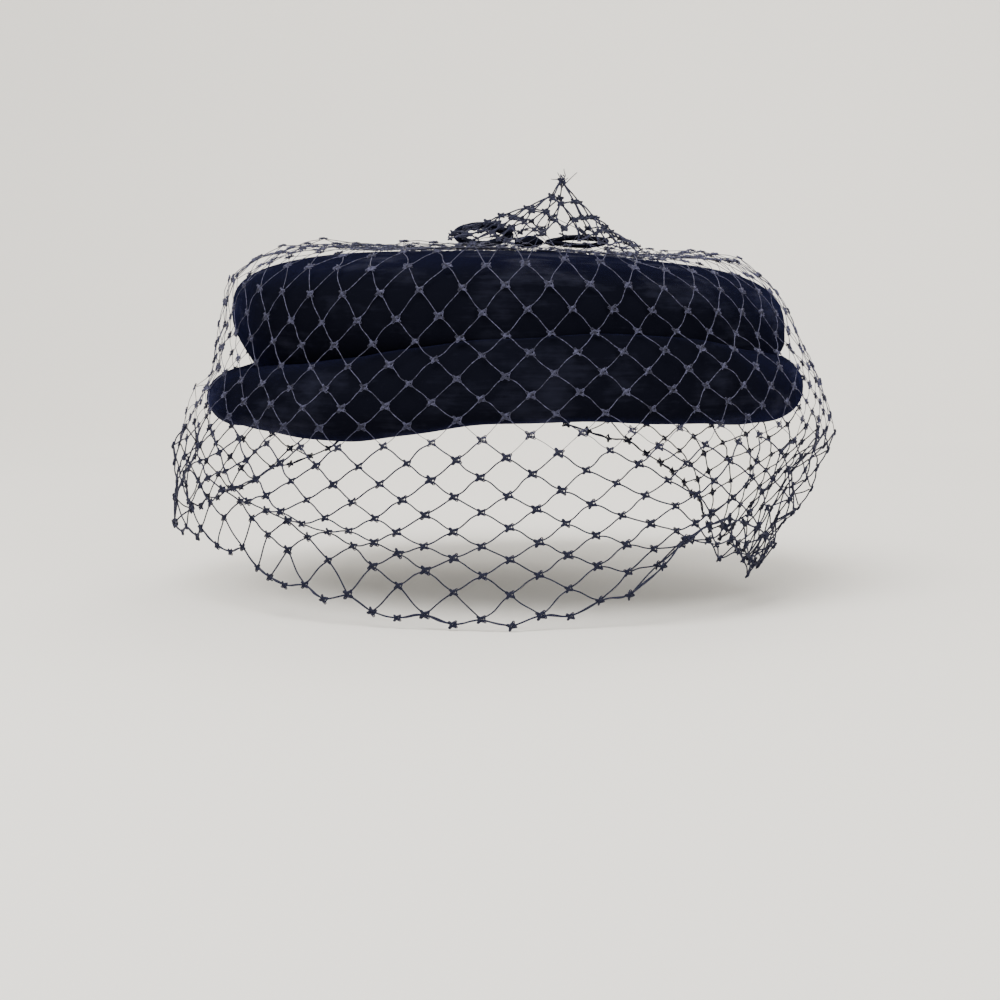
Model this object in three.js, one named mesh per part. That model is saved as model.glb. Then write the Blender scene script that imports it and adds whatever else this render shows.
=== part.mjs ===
// A velvet pillbox hat with an upturned cuff, a small ribbon bow on its crown and a stiff net veil over all of it.
// Millimetres, +Z up, +X the wearer's left, -Y the front. The origin is the centre of the head opening, in the
// plane of the rim. Angles run from +X (0) through the back (90), -X (180) and the front (270).
import * as THREE from "three";
import { mergeVertices } from "three/addons/utils/BufferGeometryUtils.js";

// Driving sizes of the velvet body.
const CROWN_TOP = 53.5; // height of the middle of the crown
const CROWN_SQUARE = 3.3; // superellipse power of the crown's shoulder
const CROWN_WALL = 2.5; // velvet over a stiff frame
const NECK_RADIUS = 82; // outside of the crown where it meets the cuff
const NECK_TOP = 4; // above this the crown swells out to its belly
const CROWN_FOOT = 0.8; // lower edge of the crown's wall
const CUFF_WALL = 2.4;
const CUFF_CURL = 10; // how far inside its lip the cuff is lowest
const SEAM_GAP = 0.85; // clearance between pieces that are sewn together

// One row for each direction around the body: the height of the crown's top towards its edge, its widest
// radius and that one's height, then the cuff's upper edge, its lip and the lowest line of its curled-under rim.
const BODY = [
  { deg: 0, topZ: 51.3, bellyR: 95.8, bellyZ: 22.5, cuffTop: 16.8, lipR: 102.9, lipZ: 7.1, rimZ: -3.3 },
  { deg: 30, topZ: 51, bellyR: 95.2, bellyZ: 23, cuffTop: 17, lipR: 103.5, lipZ: 6.5, rimZ: -3 },
  { deg: 60, topZ: 51.3, bellyR: 96, bellyZ: 25.5, cuffTop: 17, lipR: 105, lipZ: 6.5, rimZ: -2.5 },
  { deg: 90, topZ: 53.2, bellyR: 97, bellyZ: 28, cuffTop: 17, lipR: 106, lipZ: 6.5, rimZ: -2.2 },
  { deg: 120, topZ: 53.5, bellyR: 96, bellyZ: 30, cuffTop: 16.5, lipR: 105, lipZ: 6, rimZ: -2.6 },
  { deg: 150, topZ: 53.5, bellyR: 94.3, bellyZ: 31.5, cuffTop: 15.5, lipR: 103.6, lipZ: 5, rimZ: -3.3 },
  { deg: 180, topZ: 53.5, bellyR: 93.4, bellyZ: 31.2, cuffTop: 14, lipR: 102.9, lipZ: 3.4, rimZ: -3.9 },
  { deg: 210, topZ: 53.5, bellyR: 94, bellyZ: 31.2, cuffTop: 15.8, lipR: 103.3, lipZ: 2.8, rimZ: -4.6 },
  { deg: 240, topZ: 53.5, bellyR: 95, bellyZ: 30.5, cuffTop: 20.4, lipR: 104, lipZ: 3.6, rimZ: -6.4 },
  { deg: 270, topZ: 53.2, bellyR: 95.5, bellyZ: 29, cuffTop: 26.8, lipR: 104.5, lipZ: 6.2, rimZ: 0.4 },
  { deg: 300, topZ: 51.3, bellyR: 95.3, bellyZ: 26, cuffTop: 27.4, lipR: 104.4, lipZ: 7, rimZ: -0.4 },
  { deg: 330, topZ: 51, bellyR: 94.9, bellyZ: 23.5, cuffTop: 21, lipR: 103.6, lipZ: 7.2, rimZ: -2.8 },
];

// The veil's outer form. Gaps are outwards from the crown's shoulder, its belly and the cuff's lip. Below the
// lip the net flares, hangs and ends at its hem.
const VEIL = [
  { deg: 0, shoulderGap: 3, bellyGap: 7, lipGap: 6, flareR: 111.6, midR: 100, hemR: 86, hemZ: -51 },
  { deg: 30, shoulderGap: 4, bellyGap: 6, lipGap: 5, flareR: 112, midR: 109, hemR: 103, hemZ: -39 },
  { deg: 60, shoulderGap: 4, bellyGap: 5, lipGap: 4.5, flareR: 112, midR: 113.5, hemR: 112, hemZ: -26 },
  { deg: 90, shoulderGap: 4, bellyGap: 5, lipGap: 4, flareR: 111.5, midR: 113, hemR: 113, hemZ: -19 },
  { deg: 120, shoulderGap: 4.5, bellyGap: 5, lipGap: 4.5, flareR: 111.5, midR: 113, hemR: 113, hemZ: -18 },
  { deg: 150, shoulderGap: 5.5, bellyGap: 4.5, lipGap: 5, flareR: 111.5, midR: 114.5, hemR: 114.5, hemZ: -26 },
  { deg: 180, shoulderGap: 6.5, bellyGap: 4.5, lipGap: 4.5, flareR: 110.5, midR: 114.6, hemR: 112.5, hemZ: -42 },
  { deg: 210, shoulderGap: 4.5, bellyGap: 3.5, lipGap: 3.5, flareR: 109.5, midR: 114.5, hemR: 112, hemZ: -45 },
  { deg: 240, shoulderGap: 3, bellyGap: 2.6, lipGap: 2.6, flareR: 109, midR: 115.5, hemR: 118.5, hemZ: -53 },
  { deg: 270, shoulderGap: 2.6, bellyGap: 3.2, lipGap: 2.4, flareR: 109.5, midR: 116, hemR: 121, hemZ: -60 },
  { deg: 300, shoulderGap: 2.6, bellyGap: 3.8, lipGap: 2.6, flareR: 109.5, midR: 114.5, hemR: 116, hemZ: -52 },
  { deg: 330, shoulderGap: 2.6, bellyGap: 4.5, lipGap: 4, flareR: 111, midR: 107, hemR: 95, hemZ: -49 },
];
const VEIL_WALL = 1.2;
const SHOULDER_SHARE = 0.88; // the veil leaves the crown's top at this share of the belly's radius
const CORNER_SHARE = 0.965; // and turns the corner at this one
const FLARE_SHARE = 0.28; // how far down from lip to hem the flare and the middle of the skirt lie
const MID_SHARE = 0.62;
const VEIL_LIFT = 3.4; // how far the net stands over the crown's top
const VEIL_TACK = 0.6; // and over it at the bow, where it is sewn down
// A stiff fold of net stands up near the front edge: its place, its rise and how fast it falls away to the
// wearer's right, to the left and towards the back.
const PEAK = { x: 16, y: -68, rise: 23, right: 24, left: 15, back: 34 };
const BOW = { x: 8.5, y: 32, halfLength: 33, halfWidth: 12 }; // the patch that the net is tacked to

// The bow: flat ribbon loops either side of a knot, each a ring seen from the front.
const RIBBON = 13; // ribbon width, front to back
const BOW_FOOT = 1.3; // the ribbon rests this far above the tacked net
const LOOPS = [
  { name: "bow_loop_left", x: -7.7, halfLength: 10.4, halfHeight: 4.4, band: 1.5, turn: 7 },
  { name: "bow_loop_right", x: 25.8, halfLength: 11.2, halfHeight: 2.4, band: 1.25, turn: -5 },
];
const KNOT = { halfLength: 5.2, halfHeight: 2.7, width: 14.5 };

const AROUND = 48; // facets around the hat
const VELVET = new THREE.MeshStandardMaterial({ color: 0x0b0d18, roughness: 0.95, metalness: 0 });
const RIBBON_VELVET = new THREE.MeshStandardMaterial({ color: 0x10131f, roughness: 0.9, metalness: 0 });
const NET = new THREE.MeshStandardMaterial({ color: 0x3a3c58, roughness: 0.7, metalness: 0 });

const mix = (a, b, share) => a + (b - a) * share;
const smooth = (share) => share * share * (3 - 2 * share);
const clamp01 = (value) => Math.min(1, Math.max(0, value));

// A table's row at any angle, on a smooth closed curve through its rows.
function rowAt(table, angle) {
  const step = (2 * Math.PI) / table.length;
  const place = (((angle / step) % table.length) + table.length) % table.length;
  const first = Math.floor(place);
  const t = place - first;
  const [a, b, c, d] = [-1, 0, 1, 2].map((k) => table[(first + k + table.length) % table.length]);
  const row = {};
  for (const key of Object.keys(b)) {
    const bend = t * (2 * a[key] - 5 * b[key] + 4 * c[key] - d[key] + t * (3 * (b[key] - c[key]) + d[key] - a[key]));
    row[key] = b[key] + 0.5 * t * (c[key] - a[key] + bend);
  }
  return row;
}

// Height of the crown's top over a point that is a share of the belly's radius from the middle.
function crownHeight(share, row) {
  const lift = Math.pow(Math.max(0, 1 - Math.pow(Math.abs(share), CROWN_SQUARE)), 1 / CROWN_SQUARE);
  return mix(row.bellyZ, mix(CROWN_TOP, row.topZ, smooth(clamp01(share / 0.6))), lift);
}

// Radius of the crown's wall below its belly.
function wallRadius(row, z) {
  const down = clamp01((row.bellyZ - z) / (row.bellyZ - NECK_TOP));
  return mix(row.bellyR, NECK_RADIUS, smooth(down));
}

// The crown's outer section at one angle, from near its middle down to its foot.
function crownSection(angle) {
  const row = rowAt(BODY, angle);
  const points = [];
  const shoulderSteps = 9;
  for (let i = 1; i <= shoulderSteps; i++) {
    const turn = (i / shoulderSteps) * (Math.PI / 2);
    const share = Math.pow(Math.sin(turn), 2 / CROWN_SQUARE);
    points.push([share * row.bellyR, crownHeight(share, row)]);
  }
  for (const down of [0.25, 0.5, 0.75, 1]) {
    const z = mix(row.bellyZ, NECK_TOP, down);
    points.push([wallRadius(row, z), z]);
  }
  points.push([NECK_RADIUS, CROWN_FOOT]);
  return points;
}

// The cuff's outer section at one angle: from the seam, under the rim, round the lip and up to the edge
// that stands against the crown.
function cuffSection(angle) {
  const row = rowAt(BODY, angle);
  const bottomR = row.lipR - CUFF_CURL;
  const topR = wallRadius(row, row.cuffTop) + SEAM_GAP;
  const points = [
    [NECK_RADIUS + SEAM_GAP, mix(row.rimZ, CROWN_FOOT, 0.6)],
    [mix(NECK_RADIUS, bottomR, 0.55), mix(row.rimZ, CROWN_FOOT, 0.12)],
  ];
  for (let i = 0; i <= 4; i++) {
    const turn = (i / 4) * (Math.PI / 2);
    points.push([bottomR + CUFF_CURL * Math.sin(turn), mix(row.lipZ, row.rimZ, Math.cos(turn))]);
  }
  for (let i = 1; i <= 5; i++) {
    const turn = (i / 5) * (Math.PI / 2);
    points.push([mix(topR, row.lipR, Math.cos(turn)), mix(row.lipZ, row.cuffTop, Math.sin(turn))]);
  }
  return points;
}

// Height of the veil over the crown's top, at a point of the plan.
function veilTop(x, y) {
  const angle = Math.atan2(y, x);
  const row = rowAt(BODY, angle);
  const under = crownHeight(Math.hypot(x, y) / row.bellyR, row);
  const fromBow = Math.hypot((x - BOW.x) / BOW.halfLength, (y - BOW.y) / BOW.halfWidth);
  const free = smooth(clamp01((fromBow - 0.8) / 1.1));
  const aside = Math.abs(x - PEAK.x) / (x < PEAK.x ? PEAK.right : PEAK.left);
  const behind = (y - PEAK.y) / PEAK.back;
  const peak = PEAK.rise * Math.exp(-aside - behind * behind);
  return under + VEIL_WALL + mix(VEIL_TACK, VEIL_LIFT + peak, free);
}

// The veil's outer surface at one angle, from the bow outwards over the crown and down to the hem.
function veilLine(angle) {
  const body = rowAt(BODY, angle);
  const veil = rowAt(VEIL, angle);
  const [c, s] = [Math.cos(angle), Math.sin(angle)];
  const shoulder = SHOULDER_SHARE * body.bellyR + veil.shoulderGap;
  const line = [];
  for (const share of [0.1, 0.2, 0.32, 0.46, 0.6, 0.74, 0.88]) {
    const x = mix(BOW.x, shoulder * c, share);
    const y = mix(BOW.y, shoulder * s, share);
    line.push(new THREE.Vector3(x, y, veilTop(x, y)));
  }
  const shoulderZ = crownHeight(SHOULDER_SHARE, body) + VEIL_WALL + 1.2;
  const drop = body.lipZ - veil.hemZ;
  const side = [
    [shoulder, shoulderZ],
    [CORNER_SHARE * body.bellyR + veil.shoulderGap, crownHeight(CORNER_SHARE, body) + 1.2],
    [body.bellyR + veil.bellyGap, Math.max(body.bellyZ, body.cuffTop + 2.5)],
    [mix(wallRadius(body, body.cuffTop), body.lipR, 0.72) + veil.lipGap + 0.6, mix(body.lipZ, body.cuffTop, 0.72)],
    [body.lipR + veil.lipGap, body.lipZ + 3],
    [veil.flareR, body.lipZ - FLARE_SHARE * drop],
    [veil.midR, body.lipZ - MID_SHARE * drop],
    [veil.hemR, veil.hemZ],
  ];
  const curve = new THREE.CatmullRomCurve3(side.map(([r, z]) => new THREE.Vector3(r * c, r * s, z)), false, "centripetal");
  return [...line, ...curve.getPoints(14)];
}

// Outward direction of a section at each of its points, across the line from one point to the next.
function offsetSection(points, distance) {
  return points.map(([r, z], i) => {
    const [r0, z0] = points[Math.max(0, i - 1)];
    const [r1, z1] = points[Math.min(points.length - 1, i + 1)];
    const length = Math.hypot(r1 - r0, z1 - z0);
    return [r + (distance * (z1 - z0)) / length, z - (distance * (r1 - r0)) / length];
  });
}

// A ring of points for each point of a section that changes with the angle.
function ringsOf(sectionAt) {
  const sections = [];
  for (let k = 0; k < AROUND; k++) {
    const angle = (k / AROUND) * 2 * Math.PI;
    sections.push(sectionAt(angle).map((p) => (p.isVector3 ? p : new THREE.Vector3(p[0] * Math.cos(angle), p[0] * Math.sin(angle), p[1]))));
  }
  return sections[0].map((_, i) => sections.map((section) => section[i]));
}

// A closed skin over rings of points. With two poles it runs from one to the other; without, it closes on itself.
function skin(rings, poles) {
  const positions = [];
  const quad = (a, b, c, d) => positions.push(a, b, c, a, c, d);
  const joined = poles ? rings.length - 1 : rings.length;
  for (let i = 0; i < joined; i++) {
    const upper = rings[i];
    const lower = rings[(i + 1) % rings.length];
    for (let k = 0; k < AROUND; k++) {
      const next = (k + 1) % AROUND;
      quad(upper[k], lower[k], lower[next], upper[next]);
    }
  }
  if (poles) {
    const last = rings[rings.length - 1];
    for (let k = 0; k < AROUND; k++) {
      const next = (k + 1) % AROUND;
      positions.push(poles[0], rings[0][k], rings[0][next]);
      positions.push(poles[1], last[next], last[k]);
    }
  }
  return mergeVertices(new THREE.BufferGeometry().setFromPoints(positions), 1e-4);
}

function namedMesh(name, geometry, material) {
  const mesh = new THREE.Mesh(geometry, material);
  mesh.name = name;
  return mesh;
}

function crownMesh() {
  const outer = ringsOf(crownSection);
  const inner = ringsOf((angle) => offsetSection(crownSection(angle), CROWN_WALL)).reverse();
  const poles = [new THREE.Vector3(0, 0, CROWN_TOP), new THREE.Vector3(0, 0, CROWN_TOP - CROWN_WALL)];
  return namedMesh("crown", skin([...outer, ...inner], poles), VELVET);
}

function cuffMesh() {
  const outer = ringsOf(cuffSection).reverse();
  const inner = ringsOf((angle) => offsetSection(cuffSection(angle), -CUFF_WALL));
  return namedMesh("cuff", skin([...outer, ...inner]), VELVET);
}

function veilMesh() {
  const outer = ringsOf(veilLine);
  const across = new THREE.Vector3();
  const along = new THREE.Vector3();
  const inner = outer.map((ring, i) =>
    ring.map((point, k) => {
      across.subVectors(ring[(k + 1) % AROUND], ring[(k + AROUND - 1) % AROUND]);
      along.subVectors(outer[Math.min(i + 1, outer.length - 1)][k], outer[Math.max(i - 1, 0)][k]);
      return new THREE.Vector3().crossVectors(across, along).setLength(VEIL_WALL).add(point);
    }),
  );
  const top = new THREE.Vector3(BOW.x, BOW.y, veilTop(BOW.x, BOW.y));
  const poles = [top, top.clone().setZ(top.z - VEIL_WALL)];
  return namedMesh("veil", skin([...outer, ...inner.reverse()], poles), NET);
}

// A ribbon loop: an oval ring, as wide as the ribbon, standing on the crown.
function loopMesh({ name, x, halfLength, halfHeight, band, turn }) {
  const oval = new THREE.Shape().absellipse(0, 0, halfLength, halfHeight, 0, 2 * Math.PI);
  oval.holes.push(new THREE.Path().absellipse(0, 0, halfLength - 1.8 * band, halfHeight - band, 0, 2 * Math.PI));
  const geometry = new THREE.ExtrudeGeometry(oval, { depth: RIBBON, bevelEnabled: false, curveSegments: 20 });
  geometry.translate(0, 0, -RIBBON / 2).rotateX(Math.PI / 2);
  const mesh = namedMesh(name, geometry, RIBBON_VELVET);
  mesh.position.set(x, BOW.y, bowFoot() + halfHeight);
  mesh.rotation.z = THREE.MathUtils.degToRad(turn);
  return mesh;
}

// The knot: a pinched band of ribbon between the loops.
function knotMesh() {
  const oval = new THREE.Shape().absellipse(0, 0, KNOT.halfLength, KNOT.halfHeight, 0, 2 * Math.PI);
  const geometry = new THREE.ExtrudeGeometry(oval, { depth: KNOT.width, bevelEnabled: false, curveSegments: 14 });
  geometry.translate(0, 0, -KNOT.width / 2).rotateX(Math.PI / 2);
  const mesh = namedMesh("bow_knot", geometry, RIBBON_VELVET);
  mesh.position.set(BOW.x, BOW.y, bowFoot() + KNOT.halfHeight);
  return mesh;
}

function bowFoot() {
  return veilTop(BOW.x, BOW.y) + BOW_FOOT;
}

const hat = new THREE.Group();
hat.add(crownMesh(), cuffMesh(), veilMesh(), ...LOOPS.map(loopMesh), knotMesh());
export default hat;
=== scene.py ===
"""A velvet pillbox hat with an upturned cuff, a ribbon bow and a stiff diamond-net veil.

Lengths in the tables and in the making are millimetres, and become metres as each piece is laid down.
+Z is up, -Y is the front, +X is the wearer's left. Angles run from +X through the back to -X and the front.
"""

import math

import bpy
import numpy as np
from bpy.props import FloatProperty, FloatVectorProperty, IntProperty, PointerProperty
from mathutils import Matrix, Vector


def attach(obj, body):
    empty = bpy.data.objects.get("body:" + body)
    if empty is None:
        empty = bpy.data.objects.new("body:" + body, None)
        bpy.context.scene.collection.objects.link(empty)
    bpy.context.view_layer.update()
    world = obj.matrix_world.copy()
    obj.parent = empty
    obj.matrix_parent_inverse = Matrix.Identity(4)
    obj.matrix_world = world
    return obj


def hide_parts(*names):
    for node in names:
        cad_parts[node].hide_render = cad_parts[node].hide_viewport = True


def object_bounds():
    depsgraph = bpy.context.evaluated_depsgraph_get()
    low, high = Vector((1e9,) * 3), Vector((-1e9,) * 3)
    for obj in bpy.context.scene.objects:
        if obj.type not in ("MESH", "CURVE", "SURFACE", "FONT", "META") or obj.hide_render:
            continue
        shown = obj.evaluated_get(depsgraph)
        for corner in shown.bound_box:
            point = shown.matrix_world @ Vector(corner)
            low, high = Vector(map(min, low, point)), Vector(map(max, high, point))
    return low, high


bl_info = {
    "name": "Velvet pillbox hat",
    "version": (1, 0, 0),
    "blender": (4, 5, 0),
    "location": "3D View > Sidebar > Hat",
    "description": "Makes a velvet pillbox hat with a cuff, a bow and a net veil",
    "category": "Object",
}

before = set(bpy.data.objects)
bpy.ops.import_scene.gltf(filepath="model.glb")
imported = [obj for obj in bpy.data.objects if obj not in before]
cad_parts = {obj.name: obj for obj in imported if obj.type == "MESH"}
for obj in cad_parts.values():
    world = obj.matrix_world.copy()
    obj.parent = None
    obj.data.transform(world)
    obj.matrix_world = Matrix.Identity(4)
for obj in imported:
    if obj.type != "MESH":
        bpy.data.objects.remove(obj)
CAD_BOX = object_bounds()
MM = 0.001
TURN = 2 * math.pi

# The velvet body, a row every 30 degrees: the height of the crown's top towards its edge, its widest radius
# and the height of that, then the cuff's upper edge, its lip's radius and height, and its curled-under rim.
# Columns: top_z, belly_r, belly_z, cuff_top, lip_r, lip_z, rim_z.
BODY = np.array([
    (51.3, 95.8, 22.5, 16.8, 102.9, 7.1, -3.3),
    (51.0, 95.2, 23.0, 17.0, 103.5, 6.5, -3.0),
    (51.3, 96.0, 25.5, 17.0, 105.0, 6.5, -2.5),
    (53.2, 97.0, 28.0, 17.0, 106.0, 6.5, -2.2),
    (53.5, 96.0, 30.0, 16.5, 105.0, 6.0, -2.6),
    (53.5, 94.3, 31.5, 15.5, 103.6, 5.0, -3.3),
    (53.5, 93.4, 31.2, 14.0, 102.9, 3.4, -3.9),
    (53.5, 94.0, 31.2, 15.8, 103.3, 2.8, -4.6),
    (53.5, 95.0, 30.5, 20.4, 104.0, 3.6, -6.4),
    (53.2, 95.5, 29.0, 26.8, 104.5, 6.2, 0.4),
    (51.3, 95.3, 26.0, 27.4, 104.4, 7.0, -0.4),
    (51.0, 94.9, 23.5, 21.0, 103.6, 7.2, -2.8),
])
CROWN_TOP = 53.5
CROWN_SQUARE = 3.3
CROWN_WALL = 2.5
NECK_RADIUS = 82.0
NECK_TOP = 4.0
CROWN_FOOT = 0.8
CUFF_WALL = 2.4
CUFF_CURL = 10.0
SEAM_GAP = 0.5

# The net, a row every 30 degrees: how far it stands off the crown's shoulder, its belly and the cuff's lip,
# then the radius of its flare, its middle and its hem, and the hem's height.
# Columns: shoulder_gap, belly_gap, lip_gap, flare_r, mid_r, hem_r, hem_z.
VEIL = np.array([
    (3.0, 7.0, 6.0, 111.6, 97.0, 83.0, -51.0),
    (4.0, 6.0, 5.0, 111.5, 99.0, 87.0, -46.0),
    (4.0, 5.0, 4.5, 112.0, 113.0, 112.0, -25.0),
    (4.0, 5.0, 4.0, 111.0, 112.0, 112.0, -9.5),
    (4.5, 5.0, 4.5, 111.5, 113.0, 113.0, -18.0),
    (5.5, 4.5, 5.0, 112.0, 115.0, 115.0, -35.0),
    (6.5, 4.5, 4.5, 111.5, 115.5, 113.0, -38.0),
    (4.5, 3.5, 3.5, 109.5, 115.0, 113.0, -41.0),
    (3.0, 2.6, 2.6, 109.0, 115.5, 118.5, -53.0),
    (2.6, 3.2, 2.4, 109.5, 116.0, 121.0, -60.0),
    (2.6, 3.8, 2.6, 109.5, 113.5, 113.0, -48.0),
    (2.6, 4.5, 4.0, 111.0, 107.0, 95.0, -52.0),
])
VEIL_INSET = 0.7
SHOULDER_SHARE = 0.88
CORNER_SHARE = 0.965
FLARE_SHARE = 0.28
MID_SHARE = 0.62
HEM_LOWEST = -59.4
# Below this height the thread shows its full thickness; above, the pile of the velvet swallows some of it.
THICK_BELOW = -6.0

# The bow sits here, at this height. Over the crown the net runs in to its gather under the bow, lying low
# there and higher towards the edge. The bow's patch is the oval in which the net is held down.
BOW_AT = (8.5, 32.0)
BOW_REST = 54.6
VEIL_TACK = 1.0
VEIL_LIFT = 5.2
BOW_PATCH_LENGTH = 33.0
BOW_PATCH_DEPTH = 12.0

# A stiff fold of net stands up near the front edge: its place, its rise, and how fast it falls away to the
# wearer's right, to the left and towards the back.
PEAK_AT = (19.0, -70.0)
PEAK_RISE = 26.0
PEAK_RIGHT = 24.0
PEAK_LEFT = 15.0
PEAK_BACK = 34.0

# Where the hem is drawn together, and how far that is felt.
HEM_GATHER_ANGLE = math.radians(-22)
HEM_GATHER_SPREAD = math.radians(36)
HEM_GATHER_HEIGHT = 62
HEM_GATHER_PULL = 0.45
# Where the hem is tucked up, and by how much.
HEM_NOTCH_ANGLE = math.radians(-57)
HEM_NOTCH_SPREAD = math.radians(8)
HEM_NOTCH_RISE = 8.0
# Where net is turned back up outside the hem, how much of it, and the least that shows.
HEM_TURN_ANGLE = math.radians(-50)
HEM_TURN_SPREAD = math.radians(17)
HEM_TURN_DEPTH = 18.0
HEM_TURN_LEAST = 4
# A crease across the net: its place, its height above the hem, its width, and how far it draws rows together.
CREASE_ANGLE = math.radians(232)
CREASE_SPREAD = math.radians(36)
CREASE_HEIGHT = 21.0
CREASE_WIDTH = 8.0
CREASE_DRAW = 7.4
# Where the net is crushed. Columns: angle, spread, height above the hem, amount.
CRUMPLES = (
    (math.radians(183), math.radians(17), 96, 2.0),
    (math.radians(-14), math.radians(17), 60, 1.5),
)

# The bow's loops. Columns: where it stands along the bow, half length, half height, band's thickness, turn.
LOOPS = {
    "bow_loop_left": (-7.4, 10.4, 4.7, 2.4, 12.0),
    "bow_loop_right": (25.8, 11.2, 2.3, 1.7, -5.0),
}
KNOT_SIZE = (5.2, 2.1, 7.2)

# The round turn at the end of a wall, as shares of a half circle.
WALL_TURNS = (0.25, 0.5, 0.75)

# How far the net's knots and its strands keep off the velvet.
KNOT_CLEARANCE = 1.1
FOLD_CLEARANCE = 1.3
STRAND_CLEARANCE = 0.7

# The lights. Columns: name, place, what it faces, size, share of its power, colour; lengths in metres.
COOL = (1.0, 0.99, 0.97)
WARM = (1.0, 0.985, 0.96)
KEY_LIGHT = ("key_light", (-0.35, -0.55, 1.25), (0, 0, 0.02), 1.1, 1.0, WARM)
FILL_LIGHTS = (
    ("fill_light", (0.9, -1.1, 0.5), (0, 0, 0), 0.9, 1.0, COOL),
    ("back_light", (0.3, 1.1, 0.9), (0, 0, 0.04), 0.8, 1.2, COOL),
)
ROOM_COLOUR = (0.87, 0.855, 0.82, 1)
CAMERA_AT = (-1.7, -900, 54)
CAMERA_PITCH = math.radians(5.5)
SENSOR_WIDTH = 36

# The floor, in metres: half its width, how far it runs forwards and back, its sweep's bend, and its rise.
FLOOR_REACH = 2.2
FLOOR_FRONT = -2.6
FLOOR_BACK = 1.3
FLOOR_BEND = 0.5
FLOOR_RISE = 2.2
FLOOR_DROP = 0.001


class VelvetSettings(bpy.types.PropertyGroup):
    """The velvet of the crown, the cuff and the bow."""

    pile: FloatVectorProperty(
        name="Pile", description="Colour deep in the pile",
        subtype="COLOR", min=0, max=1, default=(0.0044, 0.0048, 0.009),
    )
    sheen: FloatVectorProperty(
        name="Sheen", description="Colour of light caught by the tips of the pile",
        subtype="COLOR", min=0, max=1, default=(0.045, 0.053, 0.21),
    )
    sheen_weight: FloatProperty(
        name="Sheen weight", description="How strongly the tips shine", default=0.32, min=0, max=1,
    )
    unevenness: FloatProperty(
        name="Unevenness", description="How far the velvet's folds stray, in millimetres", default=0.5, min=0,
    )


class NetSettings(bpy.types.PropertyGroup):
    """The net of the veil."""

    columns: IntProperty(
        name="Diamonds around", description="Diamonds around the hat", default=44, min=12, max=80,
    )
    strand: FloatProperty(
        name="Strand", description="Thread from knot to knot", default=0.0098, unit="LENGTH", min=0.003,
    )
    thread: FloatProperty(
        name="Thread", description="Thickness of the thread", default=0.0004, unit="LENGTH", min=0.0001,
    )
    knot: FloatProperty(
        name="Knot", description="Width of a woven knot", default=0.0035, unit="LENGTH", min=0.0005,
    )
    colour: FloatVectorProperty(
        name="Colour", description="Dye of the thread",
        subtype="COLOR", min=0, max=1, default=(0.008, 0.01, 0.03),
    )
    # Painted light: the paler colour painted on the thread by height where it lies over the velvet.
    painted_light_colour: FloatVectorProperty(
        name="Rubbed colour", description="Paler colour of the thread where it rubs on the velvet",
        subtype="COLOR", min=0, max=1, default=(0.044, 0.045, 0.078),
    )
    seed: IntProperty(name="Seed", description="Which set of small irregularities", default=7, min=0)


class StageSettings(bpy.types.PropertyGroup):
    """The floor, the lights and the camera."""

    floor: FloatVectorProperty(
        name="Floor", description="Colour of the floor",
        subtype="COLOR", min=0, max=1, default=(0.89, 0.862, 0.81),
    )
    key_power: FloatProperty(
        name="Key light", description="Power of the large light above", default=27, unit="POWER",
    )
    fill_power: FloatProperty(
        name="Fill light", description="Power of the light in front", default=7, unit="POWER",
    )
    lens: FloatProperty(name="Lens", description="Focal length, in millimetres", default=93.6, min=10)


# Shapes ---------------------------------------------------------------------------------------------------


def mix(low, high, share):
    return low + (high - low) * share


def smooth(share):
    share = np.clip(share, 0, 1)
    return share * share * (3 - 2 * share)


def around(table, angle):
    """Each column of a table at any angle, on a smooth closed curve through its rows."""
    count = len(table)
    place = (np.asarray(angle) / TURN * count) % count
    first = np.floor(place).astype(int)
    t = (place - first)[..., None]
    a, b, c, d = (table[(first + step) % count] for step in (-1, 0, 1, 2))
    bend = t * (2 * a - 5 * b + 4 * c - d + t * (3 * (b - c) + d - a))
    return np.moveaxis(b + 0.5 * t * (c - a + bend), -1, 0)


def ripple(points, seed, wavelength):
    """A smooth wandering value between about -1 and 1 for each point, the same for the same seed."""
    rng = np.random.default_rng(seed)
    total = np.zeros(points.shape[:-1])
    for _ in range(9):
        way = rng.normal(size=3)
        way *= TURN / (wavelength * rng.uniform(0.7, 1.5) * np.linalg.norm(way))
        total += np.cos(points @ way + rng.uniform(0, TURN))
    return total / 3.2


def turn_between(angle, place):
    """How far an angle is from a place, the short way round."""
    return (angle - place + math.pi) % TURN - math.pi


def bell(distance, width):
    """One at no distance, falling away smoothly over a width."""
    return np.exp(-((distance / width) ** 2))


def unit(vectors):
    return vectors / np.maximum(np.linalg.norm(vectors, axis=-1, keepdims=True), 1e-9)


def squared(value, power):
    """A value between -1 and 1 moved outwards, so that a circle of such values grows squarer."""
    return np.sign(value) * np.abs(value) ** power


def crown_height(share, top_z, belly_z):
    lift = np.maximum(0, 1 - np.abs(share) ** CROWN_SQUARE) ** (1 / CROWN_SQUARE)
    return mix(belly_z, mix(CROWN_TOP, top_z, smooth(share / 0.6)), lift)


def wall_radius(belly_r, belly_z, z):
    down = (belly_z - z) / (belly_z - NECK_TOP)
    return mix(belly_r, NECK_RADIUS, smooth(down))


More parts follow.
